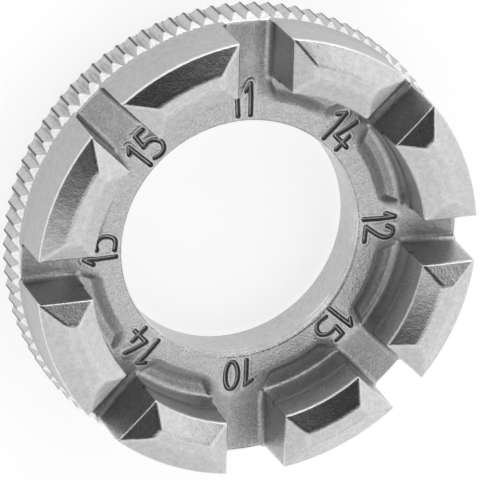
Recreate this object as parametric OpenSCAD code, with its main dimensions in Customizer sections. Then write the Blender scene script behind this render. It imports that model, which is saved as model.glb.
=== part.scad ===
// Round spoke wrench: a cast ring with eight nipple slots of six gauges.
// The back face lies on z = 0, the bore runs along z and the jaws point up.
// Slot 11 lies on +y and the slots follow clockwise, seen from the jaws.

/* [Ring] */
// Diameter of the bore
bore_d = 20; // [15:0.1:26]
// Width of the numbered land round the bore
land_w = 2.1; // [1.2:0.05:3]
// Width of the channel between the land and the jaws
channel_w = 1.9; // [1:0.05:3]
// Width of a jaw from its inner wall to its outer wall
jaw_w = 4.5; // [3.6:0.05:8]
// Radius of the rounded outer edge of the land
land_round_r = 0.5; // [0.1:0.05:0.55]
// Height of the land above the inner end of the slot floors
land_step_h = 0.55; // [0.5:0.05:1.2]
// Width of the bore's front chamfer, across the face
bore_bevel_w = 0.2; // [0.1:0.05:0.8]
// Height of the bore's front chamfer
bore_bevel_h = 0.6; // [0.2:0.05:1.2]
// Size of the chamfer on the back edge of the bore
back_bevel = 0.3; // [0.1:0.05:0.5]

/* [Heights] */
// Height of the land and of the outer ends of the slot floors
floor_z = 4.45; // [4.2:0.05:8]
// Height of the jaw walls above the land
wall_h = 4.8; // [3.4:0.1:7]
// Height of the hip roof above the jaw walls
roof_h = 1; // [0.3:0.05:1.6]

/* [Grip] */
// Number of grip teeth
tooth_count = 100; // [80:1:120]
// Angle from slot 11 to the first tooth
first_tooth_angle = 1.4; // [0:0.1:3.6]
// How far the tooth tips stand out past the jaw walls
tooth_out = 0.55; // [0.45:0.01:0.9]
// Depth of a grip tooth
tooth_depth = 0.44; // [0.1:0.01:0.5]
// Length of the tooth tips
tip_len = 2.5; // [1:0.05:2.75]
// Height of the sloped front ends of the teeth
front_slope_h = 0.65; // [0.4:0.05:0.8]
// Height of the sloped back ends of the teeth
back_slope_h = 0.55; // [0.4:0.05:0.8]
// Size of the chamfer on the rim's back edge
rim_bevel = 0.45; // [0.2:0.05:0.6]
// Radial thickness of the rim under the teeth
rim_t = 0.9; // [0.5:0.05:1.2]

/* [Slots] */
// Mouth of the slot for 10 gauge
slot_10_w = 4.9; // [4.3:0.05:5.6]
// Mouth of the slot for 11 gauge
slot_11_w = 4.4; // [4:0.05:5]
// Mouth of the slot for 12 gauge
slot_12_w = 3.8; // [3.4:0.05:4.6]
// Mouth of the slot for 13 gauge
slot_13_w = 3.55; // [3.2:0.05:4.2]
// Mouths of the two slots for 14 gauge
slot_14_w = 3.45; // [3:0.05:4]
// Mouths of the two slots for 15 gauge
slot_15_w = 3.3; // [2.8:0.05:3.8]
// How much narrower each slot wall stands at the floor than at the mouth
slot_draft_w = 0.1; // [0.02:0.01:0.25]
// Radius of the fillets along the slot floors
slot_fillet_r = 0.55; // [0.2:0.05:0.75]
// Number of narrow flats that make up each fillet
fillet_flats = 4; // [2:1:6]

/* [Jaws] */
// Run of the roof slopes on the outer side of a jaw
outer_run = 1.75; // [1:0.05:2.4]
// Run of the roof slopes on the inner side of a jaw
inner_run = 1.7; // [1:0.05:2.4]
// Run of the roof slopes at the slot ends of a jaw
end_run = 1.65; // [0.8:0.05:2.4]
// How much lower the end slopes start than the slopes on the sides
end_drop = 0.06; // [0.04:0.01:0.3]
// Height of the jaw feet, which belong to the floor ring
foot_h = 0.85; // [0.85:0.05:1.4]
// Height above the land at which the inner wall of a jaw steps out
band_h = 1.95; // [1.25:0.05:2.6]
// How far the wall below that step stands out
band_out = 0.15; // [0.05:0.01:0.3]
// Radius of the fillet along the foot of the inner wall
foot_fillet_r = 0.5; // [0.2:0.05:0.6]

/* [Hidden] */
$fn = 128;

// Mouths in clockwise order: 11, 14, 12, 15, 10, 14, 13, 15
slot_mouths = [slot_11_w, slot_14_w, slot_12_w, slot_15_w,
               slot_10_w, slot_14_w, slot_13_w, slot_15_w];
slot_step = 360 / len(slot_mouths);

// Radii
bore_r = bore_d / 2;
land_r = bore_r + land_w;
jaw_in_r = land_r + channel_w;
jaw_out_r = jaw_in_r + jaw_w;
tip_r = jaw_out_r + tooth_out;
root_r = tip_r - tooth_depth;
rim_in_r = jaw_out_r - rim_t;
band_r = jaw_in_r - band_out;

// Heights
foot_top_z = floor_z + foot_h;
band_top_z = floor_z + band_h;
band_wall_z = band_top_z - band_out;
edge_z = floor_z + wall_h;
top_z = edge_z + roof_h;
front_slope_z = floor_z - front_slope_h;
back_slope_z = front_slope_z - tip_len;
plain_z = back_slope_z - back_slope_h;

// The slot floors slope down from the rim to the land
floor_angle = atan(land_step_h / (jaw_out_r - land_r));
function floor_at(r) = floor_z - (jaw_out_r - r) * tan(floor_angle);
// Height of the slot mouths above the land
mouth_h = wall_h - end_drop;
// Angle by which the slot walls lean outwards
draft_angle = atan(slot_draft_w / mouth_h);
// Overrun of the cuts past the faces that they open
cut_over = back_bevel;

metal = [0.78, 0.78, 0.79];
metal_dark = [0.66, 0.66, 0.68];
metal_light = [0.86, 0.86, 0.87];

// Stands a profile, drawn across a slot, along slot number i
module along_slot(i, from_r, to_r) {
    rotate([0, 0, -i * slot_step])
        translate([0, to_r, floor_z])
            rotate([90, 0, 0])
                linear_extrude(height = to_r - from_r)
                    children();
}

// Cross-section of a slot: each floor corner is eased by a fillet of narrow flats
module slot_profile(mouth) {
    foot_x = mouth / 2 - slot_draft_w;
    centre_x = foot_x + slot_fillet_r * (tan(draft_angle) - 1 / cos(draft_angle));
    arc = 90 - draft_angle;
    corner = [for (k = [0 : fillet_flats])
        [centre_x + slot_fillet_r * sin(arc * k / fillet_flats),
         slot_fillet_r * (1 - cos(arc * k / fillet_flats))]];
    polygon(concat(
        corner,
        [[mouth / 2, mouth_h], [-mouth / 2, mouth_h]],
        [for (k = [fillet_flats : -1 : 0]) [-corner[k].x, corner[k].y]]
    ));
}

// The bore and the flat land that carries the gauge numbers
module number_ring() {
    color(metal_light)
        rotate_extrude() {
            polygon([
                [bore_r + back_bevel, 0],
                [land_r, 0],
                [land_r, floor_z - land_round_r],
                [land_r - land_round_r, floor_z - land_round_r],
                [land_r - land_round_r, floor_z],
                [bore_r + bore_bevel_w, floor_z],
                [bore_r, floor_z - bore_bevel_h],
                [bore_r, back_bevel]
            ]);
            translate([land_r - land_round_r, floor_z - land_round_r])
                intersection() {
                    circle(r = land_round_r);
                    square(land_round_r);
                }
        }
}

// The floors that all slots share, with the feet of the eight jaws
module floor_ring() {
    color(metal_dark) {
        rotate_extrude()
            polygon([
                [land_r, 0],
                [rim_in_r, 0],
                [rim_in_r, floor_at(rim_in_r)],
                [land_r, floor_at(land_r)]
            ]);
        jaw_feet();
    }
}

module jaw_feet() {
    toe_r = band_r - foot_fillet_r;
    difference() {
        rotate_extrude()
            polygon(concat(
                [[toe_r, floor_at(toe_r) - cut_over],
                 [rim_in_r, floor_at(toe_r) - cut_over],
                 [rim_in_r, floor_at(rim_in_r)],
                 [jaw_out_r, floor_z],
                 [jaw_out_r, foot_top_z],
                 [band_r, foot_top_z]],
                [for (k = [fillet_flats : -1 : 0])
                    [toe_r + foot_fillet_r * sin(90 * k / fillet_flats),
                     floor_at(toe_r) + foot_fillet_r * (1 - cos(90 * k / fillet_flats))]]
            ));
        for (i = [0 : len(slot_mouths) - 1])
            rotate([0, 0, -i * slot_step])
                translate([0, jaw_out_r, floor_z])
                    rotate([90 + floor_angle, 0, 0])
                        translate([0, 0, -jaw_out_r / 2])
                            linear_extrude(height = jaw_out_r)
                                slot_profile(slot_mouths[i]);
    }
}

// Direction of tip or root number k, counted in half tooth steps
function tooth_way(k) =
    [sin(first_tooth_angle + k * 180 / tooth_count),
     cos(first_tooth_angle + k * 180 / tooth_count)];

// The grip: axial teeth, sloped at both ends, over a chamfered back edge
module knurled_rim() {
    over_r = tip_r + tooth_out;
    color(metal)
        intersection() {
            linear_extrude(height = floor_z)
                polygon([for (k = [0 : 2 * tooth_count - 1])
                    (k % 2 == 0 ? tip_r : root_r) * tooth_way(k)]);
            rotate_extrude()
                polygon([
                    [rim_in_r, 0],
                    [jaw_out_r - rim_bevel, 0],
                    [jaw_out_r, rim_bevel],
                    [jaw_out_r, plain_z],
                    [over_r, plain_z + 2 * back_slope_h],
                    [over_r, floor_z - 2 * front_slope_h],
                    [jaw_out_r, floor_z],
                    [rim_in_r, floor_at(rim_in_r)]
                ]);
        }
}

// Everything that slot number i leaves open between and above the jaws
module slot_void(i) {
    mouth = slot_mouths[i];
    foot_x = mouth / 2 - slot_draft_w;
    roof_x = mouth / 2 + end_run;
    rise = end_run * cut_over / (roof_h + end_drop);
    along_slot(i, land_r, jaw_out_r + cut_over)
        polygon([
            [-foot_x, 0],
            [foot_x, 0],
            [mouth / 2, mouth_h],
            [roof_x + rise, wall_h + roof_h + cut_over],
            [-roof_x - rise, wall_h + roof_h + cut_over],
            [-mouth / 2, mouth_h]
        ]);
}

// The hip-roofed jaw between slot number i and the next one clockwise
module jaw(i) {
    color(i % 2 == 0 ? metal : metal_light)
        difference() {
            rotate([0, 0, 90 - (i + 1) * slot_step])
                rotate_extrude(angle = slot_step)
                    polygon([
                        [band_r, foot_top_z],
                        [jaw_out_r, foot_top_z],
                        [jaw_out_r, edge_z],
                        [jaw_out_r - outer_run, top_z],
                        [jaw_in_r + inner_run, top_z],
                        [jaw_in_r, edge_z],
                        [jaw_in_r, band_top_z],
                        [band_r, band_wall_z]
                    ]);
            slot_void(i);
            slot_void((i + 1) % len(slot_mouths));
        }
}

number_ring();
floor_ring();
knurled_rim();
jaw(0);  // jaw_11_14
jaw(1);  // jaw_14_12
jaw(2);  // jaw_12_15
jaw(3);  // jaw_15_10
jaw(4);  // jaw_10_14
jaw(5);  // jaw_14_13
jaw(6);  // jaw_13_15
jaw(7);  // jaw_15_11
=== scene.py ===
"""Round spoke wrench: the cast ring's looks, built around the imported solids.

Lengths in the making are millimetres, and the finished meshes are scaled to metres.
The back face lies on z = 0, slot 11 lies on +y, and slots follow clockwise seen from +z.

The casting is one signed distance function. Its surface is meshed once, thinned, moved
back onto the function and split into the named regions. The rim is swept on its own.
"""

import bmesh
import bpy
import numpy as np
from mathutils import Matrix, Vector


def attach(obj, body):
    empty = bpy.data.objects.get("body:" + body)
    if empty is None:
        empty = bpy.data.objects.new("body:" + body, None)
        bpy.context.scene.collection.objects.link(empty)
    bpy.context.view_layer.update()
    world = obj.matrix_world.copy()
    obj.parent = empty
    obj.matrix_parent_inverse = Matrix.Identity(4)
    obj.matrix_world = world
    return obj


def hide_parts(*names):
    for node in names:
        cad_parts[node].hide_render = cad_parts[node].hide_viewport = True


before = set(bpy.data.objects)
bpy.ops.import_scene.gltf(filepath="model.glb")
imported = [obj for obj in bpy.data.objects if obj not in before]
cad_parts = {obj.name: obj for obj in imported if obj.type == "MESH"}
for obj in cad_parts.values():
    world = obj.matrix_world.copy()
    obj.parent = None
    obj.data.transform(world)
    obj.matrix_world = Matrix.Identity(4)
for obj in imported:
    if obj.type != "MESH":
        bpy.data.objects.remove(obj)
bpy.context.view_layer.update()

MM = 0.001

# Rings of the casting, as in the solids: radii and heights
BORE_R = 10.0
LAND_R = 12.1
JAW_IN_R = 14.0
JAW_OUT_R = 18.5
CHANNEL_Z = 3.9
FLOOR_Z = 4.45
EDGE_Z = 9.25
TOP_Z = 10.25
BACK_BEVEL = 0.3
BORE_BEVEL_H = 0.6
FLOOR_SLOPE = (FLOOR_Z - CHANNEL_Z) / (JAW_OUT_R - LAND_R)

# Jaws, as in the solids: how far each roof slope runs in, the height of the split from the
# floor ring, and the top of the band low on the inner wall
OUTER_RUN = 1.75
INNER_RUN = 1.7
END_RUN = 1.65
JAW_FOOT_Z = 5.3
BAND_TOP_Z = 6.4

# Slots, as in the solids, clockwise from +y: widths at the mouth, and what each side narrows
MOUTHS = np.array([4.4, 3.45, 3.8, 3.3, 4.9, 3.45, 3.55, 3.3])
SLOTS = len(MOUTHS)
STEP = 2 * np.pi / SLOTS
SLOT_DRAFT = 0.1

# Slightly smaller than in the solids: the bore's bevel, the inner wall's band, the slot fillets
BORE_BEVEL_W = 0.1
BAND_OUT = 0.12
SLOT_FILLET = 0.5
# Not in the solids: the radius that the outer walls lean out to, and the jaws' hidden roots
FOOT_R = 18.56
JAW_ROOT_Z = 2.0

# Softness of the cast edges: of the jaws, the base, the bore and the band
EDGE_ROUND = 0.12
BASE_ROUND = 0.06
BORE_ROUND = 0.24
BAND_SOFT = 0.2

# The land sinks to the floor between these two radii, and more slowly in the slots
SHOULDER_IN_R = 11.7
SHOULDER_OUT_R = 12.9
SLOT_REACH = 2.3
SLOT_REACH_SOFT = 0.6

# Strokes of the gauge numbers: each is a line of (angle in degrees clockwise from +y, radius)
STROKES = [
    [(357.0, 10.6), (356.9, 12.0)],
    [(2.7, 10.6), (2.2, 13.2), (0.6, 12.6)],
    [(40.2, 10.5), (41.4, 13.2), (38.7, 12.7)],
    [(48.7, 10.5), (48.4, 12.0)],
    [(51.3, 11.25), (43.6, 11.25), (46.9, 13.2)],
    [(86.6, 10.5), (87.8, 13.3), (85.6, 12.4)],
    [(97.0, 10.7), (90.3, 10.7)],
    [(131.6, 10.4), (131.6, 13.1), (129.6, 12.5)],
    [(139.0, 13.0), (135.8, 13.0), (135.5, 11.95)],
    [(176.2, 10.65), (176.9, 12.9), (174.3, 12.55)],
    [(220.7, 10.6), (220.9, 13.1), (218.6, 12.7)],
    [(229.6, 10.5), (229.2, 12.0)],
    [(232.0, 11.3), (224.6, 11.3), (227.2, 13.1)],
    [(268.1, 10.6), (268.0, 13.2), (266.0, 12.5)],
    [(312.6, 10.6), (312.4, 13.0), (310.6, 12.6)],
    [(320.0, 13.2), (316.6, 13.2), (316.1, 12.1)],
]
# The round strokes, whose corners are cut until they are smooth
ROUND_STROKES = [
    [(90.3, 10.7), (94.9, 12.0), (95.6, 12.6), (94.6, 13.2), (92.2, 13.2), (90.8, 12.6)],
    [(135.5, 11.95), (139.0, 12.1), (142.4, 11.6), (142.4, 10.9), (139.6, 10.5), (135.4, 10.65)],
    [(271.6, 12.2), (274.4, 12.35), (277.0, 11.95), (277.3, 11.2), (275.8, 10.65), (271.2, 10.7)],
    [(316.1, 12.1), (319.8, 12.2), (322.8, 11.5), (322.0, 10.8), (319.0, 10.55), (316.0, 10.75)],
]
CORNER_CUTS = 3
# The oval stroke: its middle, its half sizes and its points
OVAL_AT = (-0.55, -11.88)
OVAL_HALF = (0.54, 1.23)
OVAL_POINTS = 33

STROKE_W = 0.32
STROKE_DEPTH = 0.22
LIP_H = 0.03
# Distances from a stroke's line over which its groove deepens and its lip rises
GROOVE_SPAN = (STROKE_W * 0.75, STROKE_W * 0.15)
LIP_SPAN = (STROKE_W * 1.7, STROKE_W * 0.9)

# The map of distances to the strokes, and what it holds at most
MAP_STEP = 0.04
MAP_R = 13.9
MAP_MOST = 9.0


def smooth_step(value, low, high):
    """0 at the low end, 1 at the high end, and soft at both."""
    share = np.clip((value - low) / (high - low), 0, 1)
    return share * share * (3 - 2 * share)


def round_max(limit, *parts):
    """Solid inside all the parts, with its outer edges rounded."""
    total = 0
    highest = parts[0]
    for part in parts:
        total = total + np.maximum(part + limit, 0) ** 2
        highest = np.maximum(highest, part)
    return np.sqrt(total) + np.minimum(highest + limit, 0) - limit


def round_min(limit, first, second):
    """Solid inside either part, with a fillet where they meet."""
    a = np.maximum(limit - first, 0)
    b = np.maximum(limit - second, 0)
    return np.maximum(np.minimum(first, second), limit) - np.sqrt(a * a + b * b)


def stroke_points(line, rounds):
    """The points of a stroke in the plane, with its corners cut the given number of times."""
    pts = np.array([(r * np.sin(np.radians(a)), r * np.cos(np.radians(a))) for a, r in line])
    for _ in range(rounds):
        cut = np.stack([pts[:-1] * 0.75 + pts[1:] * 0.25, pts[:-1] * 0.25 + pts[1:] * 0.75], 1)
        pts = np.concatenate([pts[:1], cut.reshape(-1, 2), pts[-1:]])
    return pts


def stroke_field(x, y):
    """Distance in the plane from each point to the nearest number stroke."""
    lines = [stroke_points(line, 0) for line in STROKES]
    lines += [stroke_points(line, CORNER_CUTS) for line in ROUND_STROKES]
    turn = np.linspace(0, 2 * np.pi, OVAL_POINTS)
    lines.append(np.stack([OVAL_AT[0] + OVAL_HALF[0] * np.cos(turn),
                           OVAL_AT[1] + OVAL_HALF[1] * np.sin(turn)], 1))
    near = np.full(x.shape, MAP_MOST)
    for pts in lines:
        for (ax, ay), (bx, by) in zip(pts, pts[1:]):
            dx, dy = bx - ax, by - ay
            t = np.clip(((x - ax) * dx + (y - ay) * dy) / (dx * dx + dy * dy), 0, 1)
            near = np.minimum(near, np.hypot(x - ax - t * dx, y - ay - t * dy))
    return near


map_axis = np.arange(-MAP_R, MAP_R + MAP_STEP, MAP_STEP)
stroke_map = stroke_field(*np.meshgrid(map_axis, map_axis, indexing="ij"))


def stroke_distance(x, y):
    """Distance to the nearest number stroke, read from the map."""
    # Just inside the map's last cell
    last = len(map_axis) - 1.001
    u = np.clip((x + MAP_R) / MAP_STEP, 0, last)
    v = np.clip((y + MAP_R) / MAP_STEP, 0, last)
    i, j = u.astype(int), v.astype(int)
    fu, fv = u - i, v - j
    return (stroke_map[i, j] * (1 - fu) * (1 - fv) + stroke_map[i + 1, j] * fu * (1 - fv)
            + stroke_map[i, j + 1] * (1 - fu) * fv + stroke_map[i + 1, j + 1] * fu * fv)


def engraved(x, y):
    """Depth of the number strokes at each point, with a slight raised lip around them."""
    far = stroke_distance(x, y)
    lip = smooth_step(far, *LIP_SPAN)
    return (STROKE_DEPTH + LIP_H) * smooth_step(far, *GROOVE_SPAN) - LIP_H * lip


def plan(x, y):
    """What depends on the place in the plan alone: radius, distance from the nearest slot's
    middle, half that slot's width, and depth of the strokes."""
    r = np.hypot(x, y)
    k = np.round(np.arctan2(x, y) / STEP).astype(int)
    turn = k * STEP
    across = np.abs(x * np.cos(turn) - y * np.sin(turn))
    return r, across, MOUTHS[k % SLOTS] / 2, engraved(x, y)


def casting(place, z):
    """Signed distance to the casting without its rim teeth, negative inside."""
    r, across, half, cut = place
    # Land and floors, cut by the bore and the back
    reach = SLOT_REACH * smooth_step(across, half + SLOT_REACH_SOFT, half - SLOT_REACH_SOFT)
    floor = smooth_step(r, SHOULDER_IN_R, SHOULDER_OUT_R + reach)
    base = z + cut - FLOOR_Z - (r - JAW_OUT_R) * FLOOR_SLOPE * floor
    bore_bevel = (((BORE_R - r) * BORE_BEVEL_H + (z - FLOOR_Z + BORE_BEVEL_H) * BORE_BEVEL_W)
                  / np.hypot(BORE_BEVEL_W, BORE_BEVEL_H))
    back_bevel = (BORE_R + BACK_BEVEL - r - z) * np.sqrt(0.5)
    base = round_max(BORE_ROUND, base, bore_bevel)
    base = round_max(BASE_ROUND, base, BORE_R - r, back_bevel, -z, r - JAW_OUT_R)
    # Jaws
    deep = np.clip(EDGE_Z - z, 0, EDGE_Z - FLOOR_Z) / (EDGE_Z - FLOOR_Z)
    gap = half - SLOT_DRAFT * deep - across
    rise = TOP_Z - EDGE_Z
    end = ((z - EDGE_Z) * END_RUN + (half - across) * rise) / np.hypot(END_RUN, rise)
    outer = ((z - EDGE_Z) * OUTER_RUN + (r - JAW_OUT_R) * rise) / np.hypot(OUTER_RUN, rise)
    inner = ((z - EDGE_Z) * INNER_RUN + (JAW_IN_R - r) * rise) / np.hypot(INNER_RUN, rise)
    outer_wall = r - JAW_OUT_R - (FOOT_R - JAW_OUT_R) * deep
    band = BAND_OUT * smooth_step(z, BAND_TOP_Z + BAND_SOFT, BAND_TOP_Z - BAND_SOFT)
    inner_wall = JAW_IN_R - band - r
    jaw = round_max(EDGE_ROUND, gap, end, outer, inner, outer_wall, inner_wall,
                    z - TOP_Z, JAW_ROOT_Z - z)
    return round_min(SLOT_FILLET, base, jaw)


def distance(points):
    """Signed distance from each point to the casting."""
    return casting(plan(points[:, 0], points[:, 1]), points[:, 2])


def neighbours(points, reach):
    """Each axis and side with the signed distances of the points moved that way."""
    for axis in range(3):
        for side in (1, -1):
            moved = points.copy()
            moved[:, axis] += side * reach
            yield axis, side, distance(moved)


def gradient(points, reach=0.02):
    """Outward direction of the surface at each point."""
    out = np.zeros_like(points)
    for axis, side, value in neighbours(points, reach):
        out[:, axis] += side * value
    return out / (2 * reach)


def bend(points, reach=0.1):
    """How sharply the surface bends at each point: above zero on edges, below zero in corners."""
    total = -6 * distance(points)
    for _, _, value in neighbours(points, reach):
        total += value
    return total / reach / reach


def settle(points, rounds, longest_move=0.05, least_slope=0.25):
    """Moves the points onto the surface."""
    for _ in range(rounds):
        slope = gradient(points)
        size = np.maximum((slope ** 2).sum(1), least_slope)
        move = np.clip(distance(points) / size, -longest_move, longest_move)
        points = points - slope * move[:, None]
    return points


def surface_mesh(step):
    """Meshes the casting's surface: one vertex per crossed cell, one quad per crossed edge."""
    # A few empty cells lie all round the casting
    margin = 2.5 * step
    reach = FOOT_R + margin
    xs = np.arange(-reach, reach + step, step)
    zs = np.arange(-margin, TOP_Z + 3 * step, step)
    place = plan(*np.meshgrid(xs, xs, indexing="ij"))
    field = np.stack([casting(place, z) for z in zs], 2).astype(np.float32)
    inside = field < 0
    n = np.array(field.shape) - 1
    # Cells with corners on both sides of the surface
    corners = np.zeros(n, np.int8)
    for dx, dy, dz in np.ndindex(2, 2, 2):
        corners = corners + inside[dx:n[0] + dx, dy:n[1] + dy, dz:n[2] + dz]
    cells = np.argwhere((corners > 0) & (corners < 8))
    index = np.full(n, -1, np.int64)
    index[tuple(cells.T)] = np.arange(len(cells))
    # The vertex of each cell: the mean of its crossed edges
    total = np.zeros((len(cells), 3))
    count = np.zeros(len(cells))
    for axis in range(3):
        others = [a for a in range(3) if a != axis]
        for p, q in np.ndindex(2, 2):
            low = cells.copy()
            low[:, others[0]] += p
            low[:, others[1]] += q
            high = low.copy()
            high[:, axis] += 1
            a = field[tuple(low.T)]
            b = field[tuple(high.T)]
            cross = (a < 0) != (b < 0)
            share = np.where(cross, a / np.where(cross, a - b, 1), 0)
            point = low.astype(float)
            point[:, axis] += share
            total += point * cross[:, None]
            count += cross
    points = total / count[:, None]
    points = np.stack([xs[0] + points[:, 0] * step, xs[0] + points[:, 1] * step,
                       zs[0] + points[:, 2] * step], 1)
    # The four cells around each crossed edge
    quads = []
    for axis in range(3):
        o1, o2 = [a for a in range(3) if a != axis]
        low = np.argwhere(np.diff(inside, axis=axis))
        low = low[(low[:, o1] > 0) & (low[:, o2] > 0)]
        starts_in = inside[tuple(low.T)]
        ring = []
        for p, q in ((0, 0), (1, 0), (1, 1), (0, 1)):
            cell = low.copy()
            cell[:, o1] -= p
            cell[:, o2] -= q
            ring.append(index[tuple(cell.T)])
        quad = np.stack(ring, 1)
        flip = ~starts_in if axis != 1 else starts_in
        quad[flip] = quad[flip][:, ::-1]
        quads.append(quad)
    return points, np.concatenate(quads)


def make_mesh(name, points, faces, normals=None, marks=None):
    """A smooth-shaded mesh object, in metres, with the given marks at each vertex, whose tone holds
    painted shade and painted highlights.
    """
    mesh = bpy.data.meshes.new(name)
    size = faces.shape[1]
    mesh.vertices.add(len(points))
    mesh.vertices.foreach_set("co", (points * MM).astype(np.float32).ravel())
    mesh.loops.add(faces.size)
    mesh.loops.foreach_set("vertex_index", faces.astype(np.int32).ravel())
    mesh.polygons.add(len(faces))
    mesh.polygons.foreach_set("loop_start", np.arange(0, faces.size, size, dtype=np.int32))
    mesh.polygons.foreach_set("use_smooth", np.ones(len(faces), bool))
    mesh.update(calc_edges=True)
    mesh.validate()
    if normals is not None:
        mesh.normals_split_custom_set_from_vertices([tuple(v) for v in normals])
    for mark, values in (marks or {}).items():
        kind, field = ("FLOAT_VECTOR", "vector") if values.ndim == 2 else ("FLOAT", "value")
        layer = mesh.attributes.new(mark, kind, "POINT")
        layer.data.foreach_set(field, values.astype(np.float32).ravel())
    obj = bpy.data.objects.new(name, mesh)
    bpy.context.scene.collection.objects.link(obj)
    return obj


def read_mesh(mesh):
    """Points in millimetres and triangles of a mesh."""
    points = np.empty(len(mesh.vertices) * 3, np.float32)
    mesh.vertices.foreach_get("co", points)
    mesh.calc_loop_triangles()
    tris = np.empty(len(mesh.loop_triangles) * 3, np.int32)
    mesh.loop_triangles.foreach_get("vertices", tris)
    return points.reshape(-1, 3).astype(float) / MM, tris.reshape(-1, 3)


# Rounds of splitting: each takes the edges this near to a stroke, above this height
REFINE_REACHES = (0.7, 0.5, 0.35)
REFINE_ABOVE_Z = 3.2


def refine(mesh, longest):
    """Halves the longer edges near the number strokes, in three rounds."""
    work = bmesh.new()
    work.from_mesh(mesh)
    for reach in REFINE_REACHES:
        work.verts.index_update()
        at = np.array([vert.co for vert in work.verts]) / MM
        far = stroke_distance(at[:, 0], at[:, 1])
        near = (far < reach) & (at[:, 2] > REFINE_ABOVE_Z)
        split = [edge for edge in work.edges if all(near[vert.index] for vert in edge.verts)
                 and edge.calc_length() > longest * MM]
        bmesh.ops.subdivide_edges(work, edges=split, cuts=1)
        bmesh.ops.triangulate(work, faces=[face for face in work.faces if len(face.verts) > 3])
    work.to_mesh(mesh)
    work.free()


CELL = 0.11
THIN_TO = 0.35
LONGEST_AT_STROKES = 0.06


def casting_mesh():
    """Points and triangles of the casting: thinned where it is flat, fine at the strokes."""
    points, quads = surface_mesh(CELL)
    draft = make_mesh("draft_casting", settle(points, 3), quads)
    draft.modifiers.new("thin", "DECIMATE").ratio = THIN_TO
    graph = bpy.context.evaluated_depsgraph_get()
    points, tris = read_mesh(draft.evaluated_get(graph).to_mesh())
    bpy.data.objects.remove(draft)
    draft = make_mesh("draft_casting", points, tris)
    refine(draft.data, LONGEST_AT_STROKES)
    points, tris = read_mesh(draft.data)
    bpy.data.objects.remove(draft)
    return settle(points, 2), tris


# Tones, as shares of the bright satin on the roofs of the jaws, most of them painted shade or a
# painted highlight
# Painted shade: the slots, channel and lower walls darkened in colour where shade falls
CAST_SHADE_TONE = 0.68
LAND_TONE = 0.92
# Painted shade: the bore and the outer walls darkened in colour to stand in for dark reflections
BORE_SHADE_TONE = 0.78
WALL_SHADE_TONE = 0.66
# Painted shade in the grooves of the number strokes
STROKE_SHADE_TONE = 0.35
# Painted shade along the crease at the top of the band on the inner walls
CREASE_SHADE_TONE = 0.45
# Painted highlight, partly rubbed metal: convex edges brightened in colour
EDGE_HIGHLIGHT_TONE = 1.12
# How much of the painted recess shade the slot fillets lose, as a painted highlight, and how much
# the metal beside the strokes loses
FILLET_HIGHLIGHT_SHARE = 0.3
BESIDE_SHARE = 0.7
# How much of the strokes' painted shade their middle loses, so their sides are darker
STROKE_MIDDLE_SHARE = 0.5

# Graininess of the roofs, what floors and land have more, and what walls have less
ROOF_GRAIN = 0.3
FLOOR_GRAIN_MORE = 0.7
WALL_GRAIN_LESS = 0.2

# Spans of each tone: the value where it begins and the value from which it is full
CAST_IN_SPAN = (LAND_R - 0.1, LAND_R + 0.5)
CAST_OUT_SPAN = (JAW_OUT_R - 0.05, JAW_OUT_R - 0.2)
BELOW_EDGE_SPAN = (EDGE_Z - 0.02, EDGE_Z - 0.15)
BESIDE_SPAN = (1.1, 0.4)
FILLET_BEND_SPAN = (-0.4, -1.4)
UNCUT_SPAN = (0.05, 0)
LAND_SPAN = (LAND_R + 0.5, LAND_R - 0.1)
LAND_Z_SPAN = (CHANNEL_Z - 0.2, CHANNEL_Z)
BORE_SPAN = (BORE_R + 0.06, BORE_R)
WALL_SPAN = (JAW_OUT_R - 0.05, JAW_OUT_R - 0.01)
EDGE_BEND_SPAN = (1, 6)
EDGE_Z_SPAN = (EDGE_Z - 0.6, EDGE_Z - 0.2)
CREASE_Z_SPAN = (0.3, 0.1)
CREASE_R_SPAN = (JAW_IN_R + 0.3, JAW_IN_R + 0.1)
STROKE_SPAN = (STROKE_W * 0.85, STROKE_W * 0.5)
STROKE_MIDDLE_SPAN = (0.1, 0.02)
STROKE_LOW_SPAN = (CHANNEL_Z - 0.5, CHANNEL_Z - 0.3)
STROKE_HIGH_SPAN = (FLOOR_Z + 0.3, FLOOR_Z + 0.1)


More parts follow.
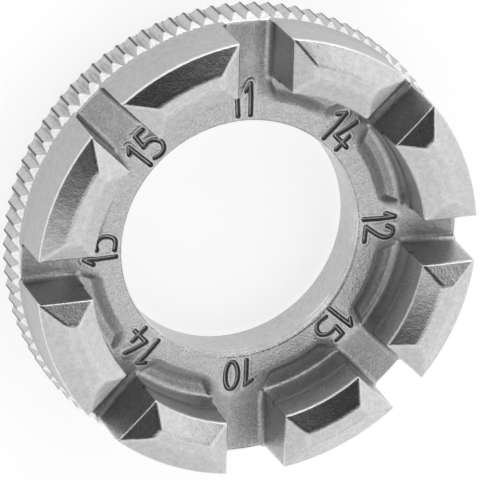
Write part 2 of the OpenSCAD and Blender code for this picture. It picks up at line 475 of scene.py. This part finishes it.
def finish(points):
    """Marks at each point: its tone, which holds painted shade and painted highlights, how grainy
    it is, and the place in the grain.
    """
    x, y, z = points.T
    r, _, _, cut = plan(x, y)
    far = stroke_distance(x, y)
    bent = bend(points)
    beside = smooth_step(far, *BESIDE_SPAN)
    below_edge = smooth_step(z, *BELOW_EDGE_SPAN)
    # Concave fillets, which lose part of the painted shade as a painted highlight
    fillet = smooth_step(bent, *FILLET_BEND_SPAN) * smooth_step(cut, *UNCUT_SPAN)
    # Painted shade in the slots, channel and lower walls, which are also grainier
    cast = (smooth_step(r, *CAST_IN_SPAN) * smooth_step(r, *CAST_OUT_SPAN) * below_edge
            * (1 - BESIDE_SHARE * beside) * (1 - FILLET_HIGHLIGHT_SHARE * fillet))
    land = smooth_step(r, *LAND_SPAN) * smooth_step(z, *LAND_Z_SPAN)
    # The bore and the outer walls, which get painted shade and less grain
    bore = smooth_step(r, *BORE_SPAN)
    wall = smooth_step(r, *WALL_SPAN) * below_edge
    tone = (1 - (1 - CAST_SHADE_TONE) * cast - (1 - LAND_TONE) * land - (1 - BORE_SHADE_TONE) * bore
            - (1 - WALL_SHADE_TONE) * wall)
    # Painted highlight, partly rubbed metal, on convex edges near the top of the jaws and beside
    # the strokes
    painted_light = smooth_step(bent, *EDGE_BEND_SPAN) * np.maximum(smooth_step(z, *EDGE_Z_SPAN), beside)
    tone = tone + (EDGE_HIGHLIGHT_TONE - tone) * painted_light
    # Painted shade along the crease at the band's top
    crease = smooth_step(np.abs(z - BAND_TOP_Z), *CREASE_Z_SPAN) * smooth_step(r, *CREASE_R_SPAN)
    tone = tone * (1 - (1 - CREASE_SHADE_TONE) * crease)
    # Painted shade in the number grooves, darker on their sides than in the middle
    stroke_middle = smooth_step(far, *STROKE_MIDDLE_SPAN)
    groove = smooth_step(far, *STROKE_SPAN) * (1 - STROKE_MIDDLE_SHARE * stroke_middle)
    tone = tone * (1 - (1 - STROKE_SHADE_TONE) * groove * smooth_step(z, *STROKE_LOW_SPAN)
                   * smooth_step(z, *STROKE_HIGH_SPAN))
    grainy = ROOF_GRAIN + FLOOR_GRAIN_MORE * (cast + land) - WALL_GRAIN_LESS * (bore + wall)
    return {"tone": tone, "grain": np.clip(grainy, 0, 1), "grain_at": points}


# The eight jaws clockwise from slot 11, and the two rings inside the rim
JAW_NAMES = ["jaw_11_14", "jaw_14_12", "jaw_12_15", "jaw_15_10",
             "jaw_10_14", "jaw_14_13", "jaw_13_15", "jaw_15_11"]
RING_NAMES = ["number_ring", "floor_ring"]
# The rim covers what lies beyond this radius and below this height
COVERED_R = 18.15
COVERED_Z = 4.3


def casting_pieces():
    """The casting's regions as one mesh object for each node."""
    points, tris = casting_mesh()
    normals = gradient(points)
    normals /= np.linalg.norm(normals, axis=1)[:, None]
    marks = finish(points)
    x, y, z = points[tris].mean(1).T
    r = np.hypot(x, y)
    jaw = (np.arctan2(x, y) % (2 * np.pi) // STEP).astype(int)
    region = np.where(r < LAND_R, len(JAW_NAMES), len(JAW_NAMES) + 1)
    region[z > JAW_FOOT_Z] = jaw[z > JAW_FOOT_Z]
    region[(r > COVERED_R) & (z < COVERED_Z)] = -1
    found = {}
    for number, node in enumerate(JAW_NAMES + RING_NAMES):
        part = tris[region == number]
        used, local = np.unique(part, return_inverse=True)
        faces = local.reshape(part.shape)
        own_marks = {mark: values[used] for mark, values in marks.items()}
        found[node] = make_mesh("cast_" + node, points[used], faces, normals[used], own_marks)
    return found


# Grip teeth, as in the solids: their number, the first one's angle in degrees, and the radii
TEETH = 100
FIRST_TOOTH = 1.4
TIP_R = 19.05
ROOT_R = 18.61
RIM_BEVEL = 0.45
# Where the plain band ends, a hair lower than in the solids, and the front ends' height over
# width, steeper than in the solids
PLAIN_Z = 0.73
FRONT_SLOPE = 0.95 / 0.55

# Places across half a tooth, from crest to valley, and the shares of it that are rounded
TOOTH_SHARES = np.array([0, 0.08, 0.16, 0.26, 0.4, 0.56, 0.72, 0.86, 0.95, 1])
CREST_ROUND = 0.22
VALLEY_ROUND = 0.2
PROFILE_POINTS = 201

# Rows of the back face, the bevel and the plain band, from inside the casting: radius, height
BACK_ROWS = [
    (17.9, 0.004),
    (JAW_OUT_R - RIM_BEVEL - 0.03, 0.0),
    (JAW_OUT_R - RIM_BEVEL + 0.03, 0.02),
    (JAW_OUT_R - 0.03, RIM_BEVEL - 0.04),
    (JAW_OUT_R, RIM_BEVEL + 0.04),
    (JAW_OUT_R, (RIM_BEVEL + PLAIN_Z) / 2),
    (JAW_OUT_R, PLAIN_Z - 0.06),
    (JAW_OUT_R + 0.04, PLAIN_Z + 0.04),
]
# Rows of the low lip that closes over the edge of the slot floors: radius, height
LIP_ROWS = [
    (JAW_OUT_R + 0.01, FLOOR_Z - 0.02),
    (JAW_OUT_R - 0.03, FLOOR_Z + 0.012),
    (JAW_OUT_R - 0.09, FLOOR_Z + 0.008),
    (JAW_OUT_R - 0.16, FLOOR_Z - 0.05),
]
# Where the rows between lie: up the back ends, along the crests and down the front ends
BACK_SHARES = (0.35, 0.65)
CREST_SHARES = (0.2, 0.4, 0.6, 0.8)
FRONT_SHARES = (0.6, 0.4, 0.2)
# Rounding of the corners at both ends of a crest: its size, which is at most this share of the
# tooth, and in shares of that size how far its middle is sunk, and where middle and crest begin
END_SOFT = 0.05
END_SOFT_SHARE = 0.3
CORNER_SUNK = 0.25
CORNER_AT = 0.35
CREST_AT = 1.4

# Painted light on the teeth: a painted dark line on the crests, darker flanks and valleys, and a
# painted highlight on the front ends
CREST_SHADE_TONE = 0.15
FLANK_SHADE_TONE = 0.82
VALLEY_SHADE_TONE = 0.7
FRONT_HIGHLIGHT_TONE = 1.2
CREST_SPAN = (0.22, 0.08)
VALLEY_SPAN = (0.7, 1)
RIM_GRAIN = 0.5


def rim():
    """The grip: V teeth with rounded crests and soft valleys, sloped at both ends; shade is painted
    on crests, flanks and valleys, and a highlight on the front ends.
    """
    half_pitch = np.pi / TEETH
    fine = np.linspace(0, 1, PROFILE_POINTS)
    steep = np.minimum(fine / CREST_ROUND, 1) * np.minimum((1 - fine) / VALLEY_ROUND, 1)
    sunk = np.interp(TOOTH_SHARES, fine, np.cumsum(steep) / steep.sum())
    # Painted shade across each tooth: dark on the crest, darker in the valley
    painted_light = (FLANK_SHADE_TONE + (CREST_SHADE_TONE - FLANK_SHADE_TONE) * smooth_step(TOOTH_SHARES, *CREST_SPAN)
            + (VALLEY_SHADE_TONE - FLANK_SHADE_TONE) * smooth_step(TOOTH_SHARES, *VALLEY_SPAN))

    def both_sides(values, sign=1):
        return np.concatenate([sign * values[::-1], values[1:-1]])

    first = np.radians(FIRST_TOOTH)
    side = both_sides(TOOTH_SHARES, -1) * half_pitch
    angles = np.concatenate([first + k * 2 * half_pitch + side for k in range(TEETH)])
    tip = np.tile(TIP_R - (TIP_R - ROOT_R) * both_sides(sunk), TEETH)
    flank = np.tile(both_sides(painted_light), TEETH)
    out = tip - JAW_OUT_R
    soft = np.minimum(END_SOFT, out * END_SOFT_SHARE)
    back = PLAIN_Z + out
    front = FLOOR_Z - out * FRONT_SLOPE
    rows = []

    # Rows take the valleys' painted shade unless they are given a tone
    def row(radius, height, tone=VALLEY_SHADE_TONE):
        rows.append([np.broadcast_to(value, angles.shape) for value in (radius, height, tone)])

    for radius, height in BACK_ROWS:
        row(radius, height)
    # Back ends of the teeth
    for share in BACK_SHARES:
        row(JAW_OUT_R + out * share, PLAIN_Z + out * share)
    row(tip - soft, back - soft)
    row(tip - soft * CORNER_SUNK, back + soft * CORNER_AT, flank)
    row(tip, back + soft * CREST_AT, flank)
    # Crests
    low, high = back + soft, front - soft
    for share in CREST_SHARES:
        row(tip, low + (high - low) * share, flank)
    # Front ends
    row(tip, front - soft * CREST_AT, flank)
    row(tip - soft * CORNER_SUNK, front - soft * CORNER_AT, flank)
    # The front ends and the lip take the painted highlight
    row(tip - soft, front + soft * FRONT_SLOPE, FRONT_HIGHLIGHT_TONE)
    for share in FRONT_SHARES:
        row(JAW_OUT_R + out * share, FLOOR_Z - out * FRONT_SLOPE * share, FRONT_HIGHLIGHT_TONE)
    for radius, height in LIP_ROWS:
        row(radius, height, FRONT_HIGHLIGHT_TONE)

    radius, height, tone = np.stack(rows, 1)
    points = np.stack([radius * np.sin(angles), radius * np.cos(angles), height], 2).reshape(-1, 3)
    count = len(angles)
    a = np.arange(count)
    b = (a + 1) % count
    faces = [np.stack([k * count + a, (k + 1) * count + a, (k + 1) * count + b, k * count + b], 1)
             for k in range(len(rows) - 1)]
    marks = {"tone": tone.ravel(), "grain": np.full(len(points), RIM_GRAIN), "grain_at": points}
    return make_mesh("cast_knurled_rim", points, np.concatenate(faces), None, marks)


def node_math(tree, operation, first, second):
    """A Math node: the second value may be a socket or a number."""
    node = tree.nodes.new("ShaderNodeMath")
    node.operation = operation
    tree.links.new(first, node.inputs[0])
    if isinstance(second, float):
        node.inputs[1].default_value = second
    else:
        tree.links.new(second, node.inputs[1])
    return node.outputs[0]


def node_range(tree, value, low, high, to_low, to_high, kind="LINEAR"):
    """A Map Range node: the span low to high becomes the span to_low to to_high."""
    node = tree.nodes.new("ShaderNodeMapRange")
    node.interpolation_type = kind
    node.inputs["From Min"].default_value = low
    node.inputs["From Max"].default_value = high
    node.inputs["To Min"].default_value = to_low
    node.inputs["To Max"].default_value = to_high
    tree.links.new(value, node.inputs["Value"])
    return node.outputs["Result"]


def new_material(name):
    """A material with an empty node tree, and its output's surface socket."""
    material = bpy.data.materials.new(name)
    material.use_nodes = True
    tree = material.node_tree
    tree.nodes.clear()
    return material, tree, tree.nodes.new("ShaderNodeOutputMaterial").inputs[0]


METAL_COLOUR = (0.97, 0.97, 0.98, 1)
# Noise of the metal, per millimetre: scale, detail and roughness
GRAIN_NOISE = (6.5, 3, 0.6)
BLOTCH_NOISE = (2.2, 3, 0.6)
WAVE_NOISE = (0.45, 2, 0.4)
NOISE_SPAN = (0.3, 0.7)
# What the noise does to the level of the colour, from its low to its high end
GRAIN_LEVEL = (0.7, 1.16)
BLOTCH_LEVEL = (0.69, 0.83)
# Roughness of the dull and of the bright tone
TONE_SPAN = (0.5, 1)
ROUGHNESS = (0.4, 0.19)
# Bumps: strength where it is smooth and where it is grainy, and height in metres
GRAIN_BUMP = (0.1, 0.7, 0.00006)
BLOTCH_BUMP = (0.25, 0.4, 0.00006)
WAVE_BUMP = (0.2, 0.3, 0.0002)


def metal():
    """Blasted and plated alloy: a bright satin with fine grain and soft casting waves."""
    material, tree, surface = new_material("plated_alloy")
    shader = tree.nodes.new("ShaderNodeBsdfPrincipled")
    shader.inputs["Metallic"].default_value = 1.0
    tree.links.new(shader.outputs[0], surface)

    def mark(name, output):
        node = tree.nodes.new("ShaderNodeAttribute")
        node.attribute_name = name
        return node.outputs[output]

    place = mark("grain_at", "Vector")
    tone = mark("tone", "Fac")
    grainy = mark("grain", "Fac")

    def noise(scale, detail, rough):
        node = tree.nodes.new("ShaderNodeTexNoise")
        node.inputs["Scale"].default_value = scale
        node.inputs["Detail"].default_value = detail
        node.inputs["Roughness"].default_value = rough
        tree.links.new(place, node.inputs["Vector"])
        return node.outputs["Fac"]

    def bump(height, smooth_strength, grainy_strength, depth, below=None):
        node = tree.nodes.new("ShaderNodeBump")
        strength = node_range(tree, grainy, 0, 1, smooth_strength, grainy_strength)
        tree.links.new(strength, node.inputs["Strength"])
        node.inputs["Distance"].default_value = depth
        tree.links.new(height, node.inputs["Height"])
        if below:
            tree.links.new(below, node.inputs["Normal"])
        return node.outputs[0]

    grain = noise(*GRAIN_NOISE)
    blotch = noise(*BLOTCH_NOISE)
    wave = noise(*WAVE_NOISE)
    speck = node_math(tree, "POWER", node_range(tree, grain, *NOISE_SPAN, *GRAIN_LEVEL), grainy)
    level = node_math(tree, "MULTIPLY", node_range(tree, blotch, *NOISE_SPAN, *BLOTCH_LEVEL), speck)
    # The tone mark multiplies the painted shade and painted highlights into the colour
    level = node_math(tree, "MULTIPLY", level, tone)
    ramp = tree.nodes.new("ShaderNodeValToRGB")
    ramp.color_ramp.elements[0].color = (0, 0, 0, 1)
    ramp.color_ramp.elements[1].color = METAL_COLOUR
    tree.links.new(level, ramp.inputs[0])
    tree.links.new(ramp.outputs[0], shader.inputs["Base Color"])
    tree.links.new(node_range(tree, tone, *TONE_SPAN, *ROUGHNESS), shader.inputs["Roughness"])
    normal = bump(grain, *GRAIN_BUMP)
    normal = bump(blotch, *BLOTCH_BUMP, normal)
    normal = bump(wave, *WAVE_BUMP, normal)
    tree.links.new(normal, shader.inputs["Normal"])
    return material


pieces = casting_pieces()
pieces["knurled_rim"] = rim()
plated = metal()
for node, piece in pieces.items():
    piece.data.materials.append(plated)
    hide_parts(node)
    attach(piece, "root")


# Camera, placed where the photograph was taken from: place, the rows of its turn, and focal length
CAMERA_AT = (-106.418, 123.590, 302.252)
CAMERA_AXES = ((0.944608, 0.098513, -0.313068), (0.023582, 0.931051, 0.364125),
               (0.327353, -0.351338, 0.877155))
FOCAL_PX = 4222.21
PHOTO_PX = 480
SENSOR_W = 36.0
CLIP_FROM_M = 0.01
CLIP_TO_M = 10


def place_camera():
    """The scene's camera, with the photograph's view."""
    data = bpy.data.cameras.new("camera")
    data.sensor_width = SENSOR_W
    data.lens = FOCAL_PX / PHOTO_PX * SENSOR_W
    data.clip_start = CLIP_FROM_M
    data.clip_end = CLIP_TO_M
    camera = bpy.data.objects.new("camera", data)
    bpy.context.scene.collection.objects.link(camera)
    camera.matrix_world = Matrix.Translation(Vector(CAMERA_AT) * MM) @ Matrix(CAMERA_AXES).to_4x4()
    bpy.context.scene.camera = camera


FLOOR_TONE = 0.5
FLOOR_GLOW = 0.72
FLOOR_REACH_M = 1.5
FLOOR_DROP_M = 0.00002


def floor():
    """The pale floor that the wrench lies on, white to the camera apart from a faint shadow."""
    mesh = bpy.data.meshes.new("floor")
    corners = [(-1, -1), (1, -1), (1, 1), (-1, 1)]
    points = [(x * FLOOR_REACH_M, y * FLOOR_REACH_M, 0) for x, y in corners]
    mesh.from_pydata(points, [], [(0, 1, 2, 3)])
    obj = bpy.data.objects.new("floor", mesh)
    bpy.context.scene.collection.objects.link(obj)
    obj.location.z = -FLOOR_DROP_M
    material, tree, surface = new_material("floor_white")
    diffuse = tree.nodes.new("ShaderNodeBsdfDiffuse")
    diffuse.inputs["Color"].default_value = (FLOOR_TONE, FLOOR_TONE, FLOOR_TONE, 1)
    glow = tree.nodes.new("ShaderNodeEmission")
    path = tree.nodes.new("ShaderNodeLightPath")
    seen = path.outputs["Is Camera Ray"]
    for ray in ("Is Glossy Ray", "Is Transmission Ray"):
        seen = node_math(tree, "MAXIMUM", seen, path.outputs[ray])
    tree.links.new(node_math(tree, "MULTIPLY", seen, FLOOR_GLOW), glow.inputs["Strength"])
    both = tree.nodes.new("ShaderNodeAddShader")
    tree.links.new(diffuse.outputs[0], both.inputs[0])
    tree.links.new(glow.outputs[0], both.inputs[1])
    tree.links.new(both.outputs[0], surface)
    mesh.materials.append(material)


# Level of the surroundings towards -y and towards +y
STUDIO_LEVELS = (0.72, 1.06)
# Soft zones of the studio: the direction, the degrees over which they fade out, and the strength
BRIGHT_ZONES = [((0.03, 0.98, 0.2), 23, 0.45), ((0.6, 0.79, 0.15), 25, 0.6)]
DARK_ZONES = [((-0.02, 0.43, 0.9), 42, 0.95), ((-0.54, 0.32, 0.78), 34, 0.85),
              ((-0.94, 0.0, 0.34), 45, 0.33)]
# Cosine of the angle within which a zone is at its full strength
ZONE_CORE = 0.996


def studio():
    """Soft white surroundings, with bright and dark zones where the photographed room had them."""
    world = bpy.data.worlds.new("studio")
    bpy.context.scene.world = world
    world.use_nodes = True
    tree = world.node_tree
    tree.nodes.clear()
    out = tree.nodes.new("ShaderNodeOutputWorld")
    back = tree.nodes.new("ShaderNodeBackground")
    coords = tree.nodes.new("ShaderNodeTexCoord")

    def facing(direction):
        dot = tree.nodes.new("ShaderNodeVectorMath")
        dot.operation = "DOT_PRODUCT"
        dot.inputs[1].default_value = Vector(direction).normalized()
        tree.links.new(coords.outputs["Generated"], dot.inputs[0])
        return dot.outputs["Value"]

    def zone(direction, fade, outside, inside):
        edge = np.cos(np.radians(fade))
        return node_range(tree, facing(direction), edge, ZONE_CORE, outside, inside, "SMOOTHSTEP")

    level = node_range(tree, facing((0, 1, 0)), -1, 1, *STUDIO_LEVELS)
    for direction, fade, strength in BRIGHT_ZONES:
        level = node_math(tree, "ADD", level, zone(direction, fade, 0, strength))
    for direction, fade, strength in DARK_ZONES:
        level = node_math(tree, "MULTIPLY", level, zone(direction, fade, 1, 1 - strength))
    tree.links.new(level, back.inputs["Color"])
    tree.links.new(back.outputs[0], out.inputs[0])


place_camera()
floor()
studio()
bpy.context.scene.view_settings.view_transform = "Standard"
